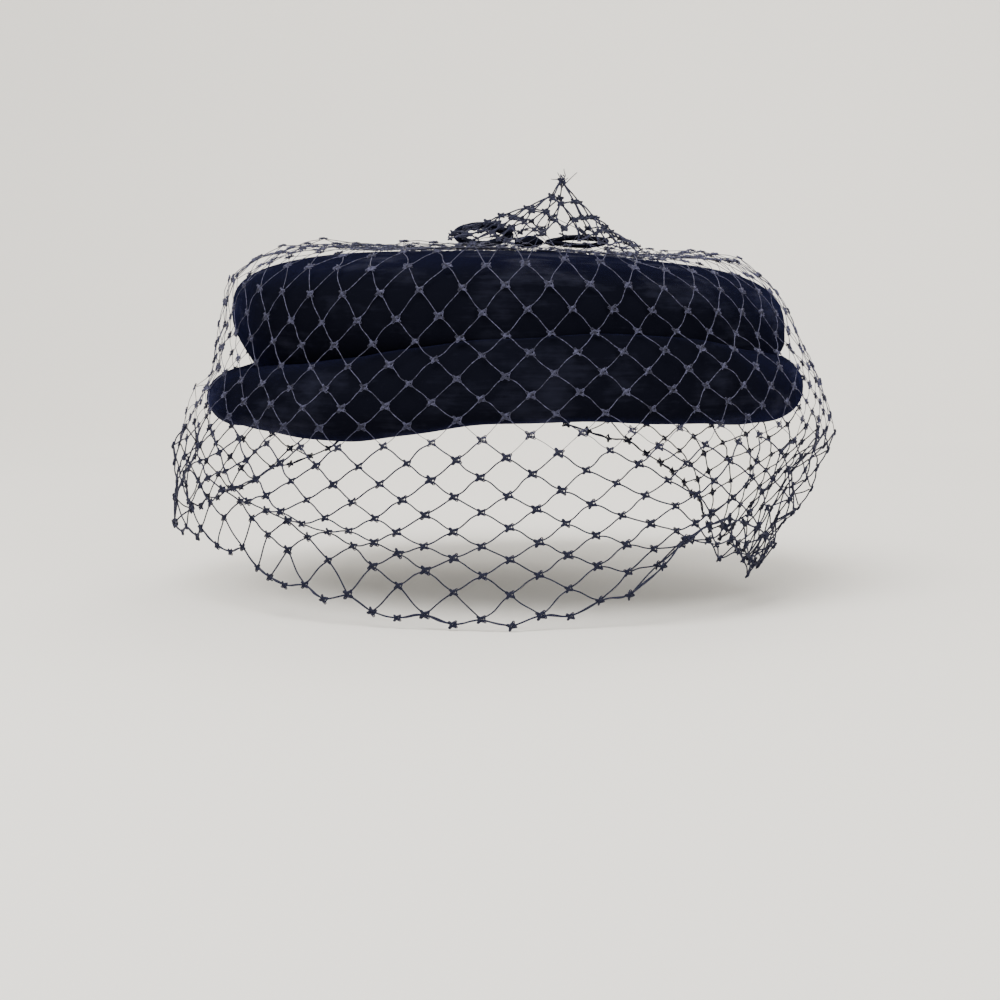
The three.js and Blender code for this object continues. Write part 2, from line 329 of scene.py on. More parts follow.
def crown_section(angle):
    """The crown's outer line at each angle, from near its middle to its foot, as radius and height."""
    top_z, belly_r, belly_z, *_ = around(BODY, angle)
    points = []
    for turn in np.linspace(0.02, 1, 30) * math.pi / 2:
        share = math.sin(turn) ** (2 / CROWN_SQUARE)
        points.append((share * belly_r, crown_height(share, top_z, belly_z)))
    for down in np.linspace(0.08, 1, 13):
        z = mix(belly_z, NECK_TOP, down)
        points.append((wall_radius(belly_r, belly_z, z), z))
    points.append((np.full_like(belly_r, NECK_RADIUS), np.full_like(belly_r, CROWN_FOOT + 1)))
    points.append((np.full_like(belly_r, NECK_RADIUS - 0.3), np.full_like(belly_r, CROWN_FOOT)))
    return np.array(points).transpose(2, 0, 1)


def cuff_section(angle):
    """The cuff's outer line at each angle: from the seam, under the rim, round the lip and up to its edge."""
    _, belly_r, belly_z, cuff_top, lip_r, lip_z, rim_z = around(BODY, angle)
    bottom_r = lip_r - CUFF_CURL
    top_r = wall_radius(belly_r, belly_z, cuff_top) + SEAM_GAP
    seam_r = np.full_like(lip_r, NECK_RADIUS + SEAM_GAP)
    points = []
    for share in (0, 0.3, 0.6, 0.82):
        points.append((mix(seam_r, bottom_r, share), mix(rim_z, CROWN_FOOT, 0.6 * (1 - share) ** 2)))
    for turn in np.linspace(0, 1, 11) * math.pi / 2:
        points.append((bottom_r + CUFF_CURL * math.sin(turn), mix(lip_z, rim_z, math.cos(turn))))
    for turn in np.linspace(0, 1, 19)[1:] * math.pi / 2:
        points.append((mix(top_r, lip_r, math.cos(turn)), mix(lip_z, cuff_top, math.sin(turn))))
    return np.array(points).transpose(2, 0, 1)


def walled(section, thickness, sign):
    """A section with a wall on one side of it and a round turn at each end, as one closed outline."""
    along = unit(np.gradient(section, axis=1))
    across = np.stack([along[..., 1], -along[..., 0]], -1) * sign
    middle = section + across * thickness / 2
    outline = [section]
    for end, way in ((-1, 1), (0, -1)):
        if end == 0:
            outline.append((section + across * thickness)[:, ::-1])
        for turn in WALL_TURNS:
            swing = math.pi * turn if end == -1 else math.pi * (1 - turn)
            lean = -math.cos(swing) * across[:, end] + way * math.sin(swing) * along[:, end]
            outline.append((middle[:, end] + lean * thickness / 2)[:, None])
    return np.concatenate(outline, axis=1)


def swept(section, angle):
    """Points of a section given as radius and height, set out around the hat."""
    x = section[..., 0] * np.cos(angle)[:, None]
    y = section[..., 0] * np.sin(angle)[:, None]
    return np.stack([x, y, section[..., 1]], -1)


def grid_faces(rows, columns, row_loop=False, column_loop=True):
    """Four-sided faces over a grid of points that may close on itself either way."""
    row = np.arange(rows if row_loop else rows - 1)[:, None]
    column = np.arange(columns if column_loop else columns - 1)[None]
    next_row = (row + 1) % rows
    next_column = (column + 1) % columns
    places = ((row, column), (next_row, column), (next_row, next_column), (row, next_column))
    corners = [a * columns + b for a, b in places]
    return np.stack(np.broadcast_arrays(*corners), -1).reshape(-1, 4)


def put_in_scene(name, data):
    """An object of some data, put in the scene."""
    made = bpy.data.objects.new(name, data)
    bpy.context.scene.collection.objects.link(made)
    return made


def lay_piece(name, points, faces, finish, slot, replaces=()):
    """One piece of the hat from points in millimetres and groups of faces, riding on the hat."""
    data = bpy.data.meshes.new(name)
    data.vertices.add(len(points))
    data.vertices.foreach_set("co", (points * MM).astype(np.float32).ravel())
    sizes = np.concatenate([np.full(len(group), group.shape[1]) for group in faces])
    corners = np.concatenate([group.ravel() for group in faces])
    data.loops.add(len(corners))
    data.loops.foreach_set("vertex_index", corners.astype(np.int32))
    data.polygons.add(len(sizes))
    data.polygons.foreach_set("loop_start", np.concatenate([[0], np.cumsum(sizes)[:-1]]).astype(np.int32))
    data.update(calc_edges=True)
    data.shade_smooth()
    data.materials.append(finish)
    piece = put_in_scene(name, data)
    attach(piece, "root")
    if replaces:
        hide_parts(*replaces)
    return piece


def ring_across(along, reference, sides):
    """Directions across a line at each of its points, evenly round it."""
    first = unit(reference - along * (along * reference).sum(-1, keepdims=True))
    second = np.cross(along, first)
    turn = np.arange(sides) / sides * TURN
    return first[..., None, :] * np.cos(turn)[:, None] + second[..., None, :] * np.sin(turn)[:, None]


def tubes(paths, radius, sides, reference):
    """Round threads along paths of equal count, as points and faces."""
    count, steps, _ = paths.shape
    ring = ring_across(unit(np.gradient(paths, axis=1)), reference, sides)
    points = paths[:, :, None] + ring * np.broadcast_to(radius, (count, steps))[:, :, None, None]
    one = grid_faces(steps, sides)[:, ::-1]
    offsets = (np.arange(count) * steps * sides)[:, None, None]
    near = np.arange(sides)[::-1][None, None] + offsets
    far = (np.arange(sides) + (steps - 1) * sides)[None, None] + offsets
    ends = np.concatenate([near, far]).reshape(-1, sides)
    return points.reshape(-1, 3), [(one[None] + offsets).reshape(-1, 4), ends]


# Finishes -------------------------------------------------------------------------------------------------


class Value:
    """A shader socket that takes part in plain arithmetic."""

    def __init__(self, finish, socket):
        self.finish = finish
        self.socket = socket

    def _math(self, operation, first, second):
        return self.finish.node("ShaderNodeMath", {"operation": operation}, {0: first, 1: second})

    def __add__(self, other):
        return self._math("ADD", self, other)

    __radd__ = __add__

    def __sub__(self, other):
        return self._math("SUBTRACT", self, other)

    def __rsub__(self, other):
        return self._math("SUBTRACT", other, self)

    def __mul__(self, other):
        return self._math("MULTIPLY", self, other)

    __rmul__ = __mul__


class Finish:
    """A material, made a node at a time."""

    def __init__(self, name):
        self.material = bpy.data.materials.new(name)
        self.material.use_nodes = True
        self.tree = self.material.node_tree
        self.tree.nodes.clear()

    def node(self, kind, settings=None, inputs=None, output=0):
        """One node of a type, with its settings made first and then its sockets' values or links."""
        made = self.tree.nodes.new(kind)
        for key, value in (settings or {}).items():
            if key == "stops":
                ramp = made.color_ramp
                while len(ramp.elements) < len(value):
                    ramp.elements.new(0.5)
                for element, (position, level) in zip(ramp.elements, value):
                    element.position = position
                    element.color = (level, level, level, 1)
            else:
                setattr(made, key, value)
        for key, value in (inputs or {}).items():
            if isinstance(value, Value):
                self.tree.links.new(value.socket, made.inputs[key])
            else:
                made.inputs[key].default_value = value
        return Value(self, made.outputs[output])

    def place(self, scale):
        """The point on the piece, stretched by a scale for each axis."""
        point = self.node("ShaderNodeTexCoord", output="Object")
        return self.node("ShaderNodeVectorMath", {"operation": "MULTIPLY"}, {0: point, 1: scale})

    def noise(self, scale, detail=3.0, roughness=0.6):
        inputs = {"Vector": self.place(scale), "Scale": 1.0, "Detail": detail, "Roughness": roughness}
        return self.node("ShaderNodeTexNoise", None, inputs)

    def ramp(self, value, stops):
        return self.node("ShaderNodeValToRGB", {"stops": stops}, {"Fac": value})

    def blend(self, factor, low, high):
        settings = {"data_type": "RGBA"}
        return self.node("ShaderNodeMix", settings, {0: factor, 6: low, 7: high}, output=2)

    def bump(self, height, strength, distance):
        inputs = {"Height": height, "Strength": strength, "Distance": distance}
        return self.node("ShaderNodeBump", None, inputs)

    def surface(self, **inputs):
        named = {key.replace("_", " "): value for key, value in inputs.items()}
        return self.node("ShaderNodeBsdfPrincipled", None, named)

    def done(self, shader):
        out = self.tree.nodes.new("ShaderNodeOutputMaterial")
        self.tree.links.new(shader.socket, out.inputs["Surface"])
        return self.material


def tinted(colour, level):
    return (*(min(1.0, part * level) for part in colour), 1.0)


def velvet_finish(name, level=1.0):
    """Deep pile that drinks light face on, catches it at its edges, and is crushed here and there."""
    velvet = bpy.context.scene.hat_velvet
    finish = Finish(name)
    cloud = finish.noise((38, 38, 60), 4.0, 0.62)
    streak = finish.noise((50, 50, 700), 3.0, 0.7)
    fuzz = finish.noise((5200, 5200, 5200), 2.0, 0.7)
    pressed = finish.ramp(cloud * 0.75 + streak * 0.25, [(0.5, 0.0), (0.72, 1.0)])
    colour = finish.blend(pressed, tinted(velvet.pile, 0.8 * level), tinted(velvet.pile, 2.2 * level))
    normal = finish.bump(fuzz + cloud, 0.5, 0.0003)
    tint = tinted(velvet.sheen, 1.0)
    weight = velvet.sheen_weight * level
    shared = {"Base_Color": colour, "Normal": normal, "Sheen_Weight": weight, "Sheen_Tint": tint}
    tips = finish.surface(Roughness=1.0, Sheen_Roughness=0.22, Specular_IOR_Level=0.0, **shared)
    flat = finish.surface(Roughness=0.7, Sheen_Roughness=0.42, Specular_IOR_Level=0.06, **shared)
    mixed = finish.node("ShaderNodeMixShader", None, {0: pressed * 0.5, 1: tips, 2: flat})
    return finish.done(mixed)


def net_finish():
    """Stiffened thread with a faint fuzz, dyed a little unevenly; painted light makes it paler by height
    where it lies over the velvet and darker again above the crown, and painted glints fleck it.
    """
    net = bpy.context.scene.hat_net
    finish = Finish("net_thread")
    uneven = finish.noise((90, 90, 90), 3.0, 0.6)
    fibre = finish.noise((4000, 4000, 4000), 2.0, 0.7)
    # Painted light: a height ramp paints the thread paler from just below the cuff to near the crown's top,
    # and darker again above that.
    height = finish.node("ShaderNodeSeparateXYZ", None, {0: finish.place((1, 1, 1))}, output="Z")
    stops = [(0.33, 0.0), (0.46, 1.0), (0.84, 1.0), (0.9, 0.12)]
    painted_light_mask = finish.ramp(height * 8 + 0.4 + uneven * 0.04, stops)
    deep = finish.blend(uneven * 0.6 + fibre * 0.4, tinted(net.colour, 0.5), tinted(net.colour, 1.4))
    # Painted glints: a noise ramp paints brighter and darker flecks along the thread in place of its shine.
    painted_glint = finish.ramp(finish.noise((850, 850, 850), 2.0, 0.6), [(0.4, 0.0), (0.64, 1.0)])
    painted_lit_colour = finish.blend(painted_glint, tinted(net.painted_light_colour, 0.5), tinted(net.painted_light_colour, 2.1))
    colour = finish.blend(painted_light_mask, deep, painted_lit_colour)
    shader = finish.surface(
        Base_Color=colour, Roughness=0.62, Normal=finish.bump(fibre, 0.5, 0.0001), Sheen_Weight=0.15,
        Sheen_Roughness=0.4, Sheen_Tint=(0.42, 0.42, 0.72, 1.0), Specular_IOR_Level=0.25,
    )
    return finish.done(shader)


# The net --------------------------------------------------------------------------------------------------


def veil_top(x, y):
    """Height of the net over the crown's top at a point of the plan."""
    top_z, belly_r, belly_z, *_ = around(BODY, np.arctan2(y, x))
    under = crown_height(np.hypot(x, y) / belly_r, top_z, belly_z)
    from_bow = np.hypot((x - BOW_AT[0]) / BOW_PATCH_LENGTH, (y - BOW_AT[1]) / BOW_PATCH_DEPTH)
    free = smooth((from_bow - 0.8) / 1.1)
    aside = np.abs(x - PEAK_AT[0]) / np.where(x < PEAK_AT[0], PEAK_RIGHT, PEAK_LEFT)
    peak = PEAK_RISE * np.exp(-aside - ((y - PEAK_AT[1]) / PEAK_BACK) ** 2)
    lift = mix(VEIL_TACK, VEIL_LIFT, smooth((np.hypot(x, y) / belly_r - 0.5) / 0.34))
    return under + mix(VEIL_TACK, lift + 0.38 * peak, free)


def veil_controls(angle):
    """Points that the net passes at each angle, from its gather over the crown and down to its hem."""
    top_z, belly_r, belly_z, cuff_top, lip_r, lip_z, _ = around(BODY, angle)
    shoulder_gap, belly_gap, lip_gap, flare_r, mid_r, hem_r, hem_z = around(VEIL, angle)
    c, s = np.cos(angle), np.sin(angle)
    shoulder = SHOULDER_SHARE * belly_r + shoulder_gap
    line = []
    for share in (0.014, 0.05, 0.1, 0.17, 0.26, 0.36, 0.48, 0.6, 0.74, 0.88):
        x = mix(BOW_AT[0], shoulder * c, share)
        y = mix(BOW_AT[1], shoulder * s, share)
        line.append((x, y, veil_top(x, y)))
    hem_z = hem_z + HEM_NOTCH_RISE * bell(turn_between(angle, HEM_NOTCH_ANGLE), HEM_NOTCH_SPREAD)
    drop = lip_z - hem_z
    nook = mix(wall_radius(belly_r, belly_z, cuff_top), lip_r, 0.72)
    side = (
        (shoulder, crown_height(SHOULDER_SHARE, top_z, belly_z) + 3.0),
        (CORNER_SHARE * belly_r + shoulder_gap, crown_height(CORNER_SHARE, top_z, belly_z) + 1.4),
        (belly_r + belly_gap, np.maximum(belly_z, cuff_top + 2.5)),
        (nook + lip_gap + 0.6, mix(lip_z, cuff_top, 0.72)),
        (lip_r + lip_gap, lip_z + 3),
        (flare_r, lip_z - FLARE_SHARE * drop),
        (mid_r, lip_z - MID_SHARE * drop),
        (hem_r, hem_z),
    )
    for radius, z in side:
        line.append(((radius - VEIL_INSET) * c, (radius - VEIL_INSET) * s, z))
    return np.array(line).transpose(2, 0, 1)


def turned_up(angle):
    """How much of the net is turned back up outside its hem at each angle."""
    amount = HEM_TURN_DEPTH * bell(turn_between(angle, HEM_TURN_ANGLE), HEM_TURN_SPREAD)
    return np.where(amount > HEM_TURN_LEAST, amount, 0)


def corner_share(angle):
    """The share of the way from gather to hem at which each line of the net passes the crown's shoulder."""
    controls = veil_controls(angle)
    reach = np.cumsum(np.linalg.norm(np.diff(controls, axis=1), axis=-1), axis=1)
    return reach[:, 10] / reach[:, -1]


def veil_point(angle, share):
    """The net's own surface at an angle and a share of the way from gather to hem."""
    controls = veil_controls(angle)
    steps = np.linalg.norm(np.diff(controls, axis=1), axis=-1)
    reach = np.concatenate([np.zeros((len(controls), 1)), np.cumsum(steps, axis=1)], axis=1)
    way = np.empty_like(controls)
    way[:, 1:-1] = (controls[:, 2:] - controls[:, :-2]) / (reach[:, 2:] - reach[:, :-2])[..., None]
    way[:, 0] = (controls[:, 1] - controls[:, 0]) / steps[:, :1]
    way[:, -1] = (controls[:, -1] - controls[:, -2]) / steps[:, -1:]
    wanted = share * reach[:, -1]
    index = np.clip((reach <= wanted[:, None]).sum(axis=1) - 1, 0, reach.shape[1] - 2)
    row = np.arange(len(controls))
    span = steps[row, index][:, None]
    t = (wanted - reach[row, index])[:, None] / span
    a, b = controls[row, index], controls[row, index + 1]
    va, vb = way[row, index] * span, way[row, index + 1] * span
    return (
        (2 * t**3 - 3 * t**2 + 1) * a
        + (t**3 - 2 * t**2 + t) * va
        + (3 * t**2 - 2 * t**3) * b
        + (t**3 - t**2) * vb
    )


def keep_off(points, clearance):
    """Points moved outwards until they stand off the velvet by the clearance."""
    rounds, longest_move = 4, 6
    top_share, top_from = 0.86, 30
    for _ in range(rounds):
        angle = np.arctan2(points[..., 1], points[..., 0])
        radius = np.hypot(points[..., 0], points[..., 1])
        z = points[..., 2]
        top_z, belly_r, belly_z, cuff_top, lip_r, lip_z, rim_z = around(BODY, angle)
        lift = np.clip((z - belly_z) / (mix(CROWN_TOP, top_z, 0.9) - belly_z), 0, 1)
        shoulder_r = belly_r * (1 - lift**CROWN_SQUARE) ** (1 / CROWN_SQUARE)
        crown_r = np.where(z > belly_z, shoulder_r, wall_radius(belly_r, belly_z, z))
        rise = np.clip((z - lip_z) / (cuff_top - lip_z), 0, 1)
        edge_r = wall_radius(belly_r, belly_z, cuff_top) + SEAM_GAP
        cuff_r = np.where(z < cuff_top, mix(edge_r, lip_r, np.sqrt(1 - rise**2)), 0)
        cuff_r = np.where(z < lip_z, lip_r - 3 * smooth((lip_z - z) / 8), cuff_r)
        body_r = np.where(z < rim_z - 1, 0, np.maximum(crown_r, cuff_r))
        short = np.clip(body_r + clearance - radius, 0, longest_move)
        over = crown_height(np.minimum(radius / belly_r, 1), top_z, belly_z) + clearance - z
        upward = (radius < top_share * belly_r) & (z > top_from)
        outward = np.stack([np.cos(angle), np.sin(angle), np.zeros_like(angle)], -1)
        points = points + outward * (short * ~upward)[..., None]
        points[..., 2] += np.where(upward, np.clip(over, 0, longest_move), 0)
    return points


def row_places(columns, strand):
    """For each half column, how far down its line each half row of knots lies, and its last half row.

    Half rows over the crown share out the way to the shoulder, so that the standing fold does not shift the
    rows below it. Below the shoulder, each follows the last by the height of a half cell of that width.
    """
    first, evened, overhang, most_rows = 3, 24, 3.5, 60
    flattest, hem_rise = 0.42, 1.6
    lines = 2 * columns
    angle = np.arange(lines) / lines * TURN
    fine = np.linspace(0, 1, 260)
    surface = np.stack([veil_point(angle, np.full(lines, share)) for share in fine], 1)
    reach = np.linalg.norm(np.diff(surface, axis=1), axis=-1)
    reach = np.concatenate([np.zeros((lines, 1)), np.cumsum(reach, axis=1)], axis=1)
    width = np.linalg.norm(np.roll(surface, 1, 0) - np.roll(surface, -1, 0), axis=-1)
    height = np.sqrt(np.maximum(strand**2 - (width / 2) ** 2, (flattest * strand) ** 2))
    main = reach[:, -1]
    total = main + turned_up(angle)
    corner = [np.interp(share, fine, reach[line]) for line, share in enumerate(corner_share(angle))]
    corner = np.array(corner)
    typical = np.interp(np.arange(0, corner.min(), 2.0), reach.mean(axis=0), height.mean(axis=0))
    top_rows = int(round((corner.mean() - first) / typical.mean()))
    places = [first + (corner - first) * (row / top_rows) for row in range(top_rows + 1)]
    while (places[-1] < total).any() and len(places) < most_rows:
        step = np.array([np.interp(places[-1][line], reach[line], height[line]) for line in range(lines)])
        places.append(places[-1] + (np.roll(step, 1) + 2 * step + np.roll(step, -1)) / 4)
    places = np.array(places).T
    row = np.arange(places.shape[1])[None]
    fits = (row % 2 == np.arange(lines)[:, None] % 2) & (places < total[:, None] + overhang)
    last = np.where(fits, row, 0).max(axis=1)
    wanted = total - np.where(last >= np.minimum(np.roll(last, 1), np.roll(last, -1)), 0, hem_rise)
    off = wanted - places[np.arange(lines), last]
    places = places + off[:, None] * smooth((places - (total[:, None] - evened)) / evened)
    return places, last, main


def net_pairs(columns, last, kept):
    """The pairs of knots that a strand joins, and those that the hem's thread joins."""
    rows = last.max()
    j, k = np.meshgrid(np.arange(rows), np.arange(columns), indexing="ij")
    here = (j * columns + k).ravel()
    side = np.where(j % 2 == 0, -1, 1)
    straight = ((j + 1) * columns + k).ravel()
    slanted = ((j + 1) * columns + (k + side) % columns).ravel()
    pairs = np.concatenate([np.stack([here, straight], 1), np.stack([here, slanted], 1)])
    end = last * columns + (np.arange(2 * columns) - last % 2) // 2
    return pairs[kept[pairs].all(axis=1)], np.stack([end, np.roll(end, -1)], 1)


def net_guide(line_angle, place, main):
    """Where each knot would lie on the net's own surface, drawn in at the crease and the hem's gather."""
    above = main - place
    past = np.maximum(-above, 0)
    creased = bell(turn_between(line_angle, CREASE_ANGLE), CREASE_SPREAD)
    draw = CREASE_DRAW * np.tanh((above - CREASE_HEIGHT) / CREASE_WIDTH) * creased * smooth(above / 8)
    share = np.clip((place + draw) / main, 0, 1) - 0.92 * past / main
    away = turn_between(line_angle, HEM_GATHER_ANGLE)
    pulled = bell(away, HEM_GATHER_SPREAD) * smooth((HEM_GATHER_HEIGHT - above) / HEM_GATHER_HEIGHT)
    angle = line_angle - away * HEM_GATHER_PULL * pulled
    guide = veil_point(angle, share)
    across = veil_point(angle + 0.01, share) - veil_point(angle - 0.01, share)
    down = veil_point(angle, np.minimum(share + 0.004, 1)) - veil_point(angle, share - 0.004)
    normal = unit(np.cross(down, across))
    return guide, normal, above, past, creased


def crushed(guide, normal, line_angle, place, above, past, creased, rng, seed):
    """The guide points off their smooth surface: loose below the lip, creased, crinkled and crumpled."""
    below_lip = smooth((75 - above) / 40) * smooth(place / 60)
    jitter = rng.normal(size=guide.shape) * 0.4
    jitter -= normal * (jitter * normal).sum(-1, keepdims=True)
    wander = (ripple(guide, seed, 60) * 2.0 + ripple(guide, seed + 1, 24) * 0.9) * below_lip
    wander += 2.4 * creased * np.tanh((above - CREASE_HEIGHT) / 5) * bell(above - CREASE_HEIGHT, 16)
    wander += smooth(past / 5) * (1.6 + 1.4 * ripple(guide, seed + 7, 18)) + 0.1 * past
    guide = guide + normal * wander[:, None]
    crinkled = smooth((guide[:, 2] - 46) / 5) * smooth((place - 40) / 30)
    guide[:, 2] += (0.6 + 2.4 * ripple(guide, seed + 11, 22)) * crinkled
    for turn, spread, reach, amount in CRUMPLES:
        crumpled = bell(turn_between(line_angle, turn), spread) * smooth((reach - above) / 30)
        crumpled = crumpled * smooth(place / 60)
        guide = guide + rng.normal(0, amount, guide.shape) * crumpled[:, None]
    return guide, jitter, below_lip


def relaxed(points, guide, normal, pairs, rest, hold, ease):
    """The knots eased until each strand nears its own length, without leaving the guide surface."""
    rounds, pull_share, most_stretch = 60, 0.22, 0.5
    deepest, highest = -0.8, 2.5
    for _ in range(rounds):
        gap = points[pairs[:, 1]] - points[pairs[:, 0]]
        length = np.linalg.norm(gap, axis=1)
        stretch = np.clip((length - rest) / length, -most_stretch, most_stretch)
        pull = gap * (pull_share * stretch)[:, None]
        move = np.zeros_like(points)
        np.add.at(move, pairs[:, 0], pull)
        np.add.at(move, pairs[:, 1], -pull)
        points = points + move * ease
        points += (guide - points) * hold
        depth = ((points - guide) * normal).sum(-1, keepdims=True)
        points -= normal * (depth - np.clip(depth, deepest, highest))
    return points


def net_layout(columns, strand, seed):
    """Every knot's place and outward direction, and the pairs of knots that a strand or the hem joins."""
    places, last, main = row_places(columns, strand)
    j, k = np.meshgrid(np.arange(last.max() + 1), np.arange(columns), indexing="ij")
    row = j.ravel()
    line = (2 * k + j % 2).ravel()
    kept = row <= last[line]
    place = places[line, row]
    line_angle = line / (2 * columns) * TURN
    pairs, hem = net_pairs(columns, last, kept)
    guide, normal, above, past, creased = net_guide(line_angle, place, main[line])
    rng = np.random.default_rng(seed)
    guide, jitter, below_lip = crushed(guide, normal, line_angle, place, above, past, creased, rng, seed)
    rest = np.full(len(pairs), strand) * rng.uniform(0.94, 1.06, len(pairs))
    hold = mix(0.12, 0.035, below_lip) + 0.25 * creased * bell(above - CREASE_HEIGHT, 14)
    hold = hold[:, None]
    edge = (row < 2) | (row >= last[line])
    hold[edge] = 0.4
    ease = (~edge * smooth(place / 40))[:, None]
    points = relaxed(guide + jitter, guide, normal, pairs, rest, hold, ease)
    points = keep_off(points, KNOT_CLEARANCE)
    points[:, 2] = np.maximum(points[:, 2], HEM_LOWEST)
    return points, normal, pairs, hem, kept, row


def fold_layout(seed):
    """The standing fold, two leaves of net that rise to a ridge: its knots, their directions and pairs."""
    columns, leaf, pitch = 10, 4, 7.2
    j, k = np.meshgrid(np.arange(2 * leaf + 1), np.arange(columns), indexing="ij")
    j, k = j.ravel(), k.ravel()
    rng = np.random.default_rng(seed)
    x = (k + 0.5 * (j % 2) - columns / 2) * pitch
    x = np.where(x > 0, x * 0.8, x)
    aside = np.abs(x) / np.where(x < 0, PEAK_RIGHT, PEAK_LEFT)
    rise = PEAK_RISE * np.exp(-aside)
    up = 1 - np.abs(j / leaf - 1)
    x = x * (1 - 0.12 * up) + PEAK_AT[0]
    y = PEAK_AT[1] + (j / leaf - 1) * (2 + 0.5 * rise) + 3 * ripple(np.stack([x, x, x], -1), seed, 26)
    inside = np.minimum(1, 0.86 * around(BODY, np.arctan2(y, x))[1] / np.hypot(x, y))
    x, y = x * inside, y * inside
    points = np.stack([x, y, veil_top(x, y) + 0.4 + (rise * 0.43 + 1) * up], -1)
    points += rng.normal(0, 1, points.shape) * np.stack([0 * x + 0.8, 0 * x + 1.1, 0.7 * (1 - up)], -1)
    normal = unit(np.stack([0 * x + 0.1, np.where(j <= leaf, -1.0, 1.0), 0 * x + 0.4], -1))
    here = np.arange(2 * leaf * columns)
    side = np.where(j[here] % 2 == 0, -1, 1)
    beside = k[here] + side
    joined = (beside >= 0) & (beside < columns)
    slanted = np.stack([here, here + columns + side], 1)[joined]
    ridge = leaf * columns + np.arange(columns - 1)
    pairs = np.concatenate([np.stack([here, here + columns], 1), slanted, np.stack([ridge, ridge + 1], 1)])
    return keep_off(points, FOLD_CLEARANCE), normal, pairs


def strand_paths(points, normal, beside, pairs, size, seed, steps=9):
    """A line for each strand, out of the corner of one knot and rounding into the corner of the next."""
    corner, handle_share, waver, rounding = 0.3, 0.36, 0.13, 0.45
    rng = np.random.default_rng(seed)
    a, b = points[pairs[:, 0]], points[pairs[:, 1]]
    facing = unit(normal[pairs[:, 0]] + normal[pairs[:, 1]])
    level = unit(beside[pairs[:, 0]] + beside[pairs[:, 1]])
    level *= np.sign(((b - a) * level).sum(-1, keepdims=True))
    length = np.maximum(np.linalg.norm(b - a, axis=1)[:, None], 0.1)
    flatness = np.abs(((b - a) * level).sum(-1, keepdims=True)) / length
    out = unit(unit(b - a) + level * 0.04)
    reach = corner * np.minimum(size[pairs].mean(axis=1)[:, None], length * 0.4)
    a = a + out * reach
    b = b - out * reach
    handle = handle_share * length
    swing = rng.normal(0, waver, (2, len(pairs), 1))
    aside = np.cross(facing, unit(b - a))
    round_out = level * rounding * smooth((flatness - 0.7) / 0.25)
    first = unit(out + round_out + aside * swing[0]) * handle
    second = unit(out + round_out + aside * swing[1]) * handle
    t = np.linspace(0, 1, steps)[None, :, None]
    c, d = a + first, b - second
    paths = (
        (1 - t) ** 3 * a[:, None]
        + 3 * (1 - t) ** 2 * t * c[:, None]
        + 3 * (1 - t) * t**2 * d[:, None]
        + t**3 * b[:, None]
    )
    lift = rng.normal(0.25, 0.2, (len(pairs), 1, 1)) * np.sin(math.pi * t)
    return paths + facing[:, None] * lift, np.repeat(facing[:, None], steps, 1)


def knot_template(thread):
    """One woven knot, one unit wide: a tight basket of crossing threads with a small loop at each corner."""
    petal_steps = 28
    heart_steps = 18
    t = np.arange(petal_steps) / petal_steps * TURN
    x = 0.27 * np.cos(t) + 0.21 * np.cos(3 * t)
    y = 0.27 * np.sin(t) - 0.21 * np.sin(3 * t)
    petals = np.stack([(x - y) * 0.78, (x + y) * 0.64, 0.06 * np.sin(4 * t)], 1)
    u = np.arange(heart_steps) / heart_steps * TURN
    heart = np.stack([0.33 * np.sin(2 * u), 0.25 * np.sin(3 * u + 0.4), 0.1 * np.cos(5 * u)], 1)
    parts = []
    start = 0
    for curve, radius, sides in ((petals, 0.4 * thread, 3), (heart, 0.46 * thread, 3)):
        along = unit(np.roll(curve, -1, 0) - np.roll(curve, 1, 0))
        ring = ring_across(along, np.array([0.0, 0.0, 1.0]), sides)
        faces = grid_faces(len(curve), sides, row_loop=True)[:, ::-1] + start
        parts.append(((curve[:, None] + ring * radius).reshape(-1, 3), faces))
        start += len(curve) * sides
    return np.concatenate([part[0] for part in parts]), np.concatenate([part[1] for part in parts])


def knots(points, normal, along, size, thread, seed):
    """A knot at each point, lying in the net."""
    rng = np.random.default_rng(seed)
    template, faces = knot_template(thread / size.mean())
    first = unit(along - normal * (along * normal).sum(-1, keepdims=True))
    second = np.cross(normal, first)
    swing = rng.normal(0, 0.16, len(points))[:, None]
    u = first * np.cos(swing) + second * np.sin(swing)
    v = np.cross(normal, u)
    scale = (size * rng.uniform(0.86, 1.14, len(points)))[:, None, None]
    axes = np.stack([u, v, normal], 1)
    placed = np.einsum("vi,nij->nvj", template, axes) * scale + points[:, None] + normal[:, None] * 0.1
    offsets = (np.arange(len(points)) * len(template))[:, None, None]
    return placed.reshape(-1, 3), [(faces[None] + offsets).reshape(-1, faces.shape[1])]


# Operators ------------------------------------------------------------------------------------------------


class HAT_OT_crown(bpy.types.Operator):
    """Make the velvet crown"""

    bl_idname = "hat.crown"
    bl_label = "Crown"

    def execute(self, context):
        velvet = context.scene.hat_velvet
        count = 224
        angle = np.arange(count) / count * TURN
        section = crown_section(angle)
        points = swept(walled(section, CROWN_WALL, 1), angle)
        points[..., 2] += velvet.unevenness * ripple(points, 3, 70) * 0.6
        outward = unit(points * (1, 1, 0))
        points += outward * (velvet.unevenness * ripple(points * (1, 1, 0.4), 4, 45))[..., None]
        inmost = 2 * section.shape[1] + len(WALL_TURNS) - 1
        faces = grid_faces(points.shape[1], count)
        walls = faces[faces[:, 0] // count < inmost]
        ring = np.arange(count)
        caps = [ring[None], (inmost * count + ring)[::-1][None]]
        flat = points.transpose(1, 0, 2).reshape(-1, 3)[: (inmost + 1) * count]
        lay_piece("crown_velvet", flat, [walls, *caps], velvet_finish("crown_pile"), "velvet", ["crown"])
        return {"FINISHED"}


